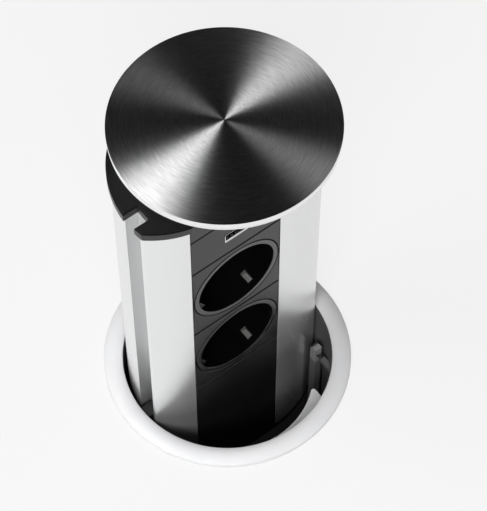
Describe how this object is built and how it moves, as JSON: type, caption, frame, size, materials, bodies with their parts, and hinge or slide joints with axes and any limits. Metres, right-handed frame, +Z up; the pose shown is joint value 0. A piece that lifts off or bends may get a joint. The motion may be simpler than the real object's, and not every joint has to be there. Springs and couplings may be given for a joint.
{
  "type": "pop up desk socket",
  "caption": "Round lift-up desk socket tower with earthed sockets, a charging port and a brushed lid, sliding in a flanged sleeve clamped in a desk hole.",
  "frame": {"origin": "centre of the desk hole, level with the desk top", "axes": "+Z up along the tower's travel, -Y the way the sockets face, +X to the right seen from the front"},
  "size_m": [0.1156, 0.1156, 0.2864],
  "materials": {
    "brushed_steel": "turned, brushed in circles",
    "trim": "satin silver paint",
    "aluminium": "satin anodised, fine upright grain",
    "black_plastic": "fine moulded texture",
    "well_plastic": "smooth moulded",
    "grey_plastic": "moulded",
    "dark_plastic": "moulded, dark grey",
    "light_plastic": "satin moulded",
    "rubber": "matt",
    "bright_steel": "plated",
    "satin_nickel": "satin plated",
    "brass": "plain",
    "copper": "plain",
    "board": "lacquered board",
    "coil": "taped winding",
    "ivory_plastic": "moulded"
  },
  "bodies": {
    "desk_fitting": {"trim_ring": "trim", "guide_sleeve": "dark_plastic", "flange_seal": "rubber", "front_shelf": "light_plastic", "guide_key_left": "black_plastic", "guide_key_right": "black_plastic", "catch_spring": "bright_steel"},
    "catch": {"catch_block": "grey_plastic"},
    "clamp_washer": {"clamp_washer": "bright_steel"},
    "clamp_nut": {"clamp_nut": "black_plastic"},
    "shutter_upper": {"shutter_upper": "ivory_plastic"},
    "shutter_lower": {"shutter_lower": "ivory_plastic"},
    "tower": {"tower_profile": "aluminium", "top_cap": "black_plastic", "cap_screws": "bright_steel", "lid_neck": "black_plastic", "lid_carrier": "aluminium", "lid": "brushed_steel", "lid_screws": "bright_steel", "base_cap": "black_plastic", "base_screws": "bright_steel", "gland_body": "black_plastic", "gland_locknut": "black_plastic", "gland_nut": "black_plastic", "gland_seal": "rubber", "filler_plate": "black_plastic", "usb_plate": "black_plastic", "usb_shell": "bright_steel", "usb_tongue": "black_plastic", "usb_housing": "black_plastic", "usb_board": "board", "usb_transformer": "coil", "socket_plate_upper": "black_plastic", "socket_plate_lower": "black_plastic", "socket_insert_upper": "well_plastic", "socket_insert_lower": "well_plastic", "earth_clip_upper": "satin_nickel", "earth_clip_lower": "satin_nickel", "contact_housing_upper": "grey_plastic", "contact_housing_lower": "grey_plastic", "pin_contacts_upper": "brass", "pin_contacts_lower": "brass", "busbar_line": "copper", "busbar_neutral": "copper", "busbar_earth": "copper", "terminal_block": "ivory_plastic", "terminal_screws": "bright_steel", "blank_plate": "black_plastic"}
  },
  "joints": [
    {"name": "tower_slide", "type": "slide", "parent": "desk_fitting", "child": "tower", "axis": [0, 0, -1], "range_m": [0, 0.188]},
    {"name": "catch_press", "type": "slide", "parent": "desk_fitting", "child": "catch", "axis": [0, -1, 0], "range_m": [0, 0.002], "stiffness_N_per_m": 400, "springref_m": -0.002, "deforming": ["catch_spring"]},
    {"name": "washer_slide", "type": "slide", "parent": "desk_fitting", "child": "clamp_washer", "axis": [0, 0, 1], "range_m": [-0.025, 0.013]},
    {"name": "nut_turn", "type": "hinge", "parent": "clamp_washer", "child": "clamp_nut", "pos_m": [0, 0, -0.0346], "axis": [0, 0, 1], "range_deg": [-2250, 1170]},
    {"name": "shutter_upper_slide", "type": "slide", "parent": "tower", "child": "shutter_upper", "axis": [0.866, 0, 0.5], "range_m": [0, 0.0058], "stiffness_N_per_m": 100, "springref_m": -0.002},
    {"name": "shutter_lower_slide", "type": "slide", "parent": "tower", "child": "shutter_lower", "axis": [0.866, 0, 0.5], "range_m": [0, 0.0058], "stiffness_N_per_m": 100, "springref_m": -0.002}
  ],
  "couplings": [
    {"joint": "washer_slide", "follows": "nut_turn", "m_per_rad": 0.00063662}
  ]
}
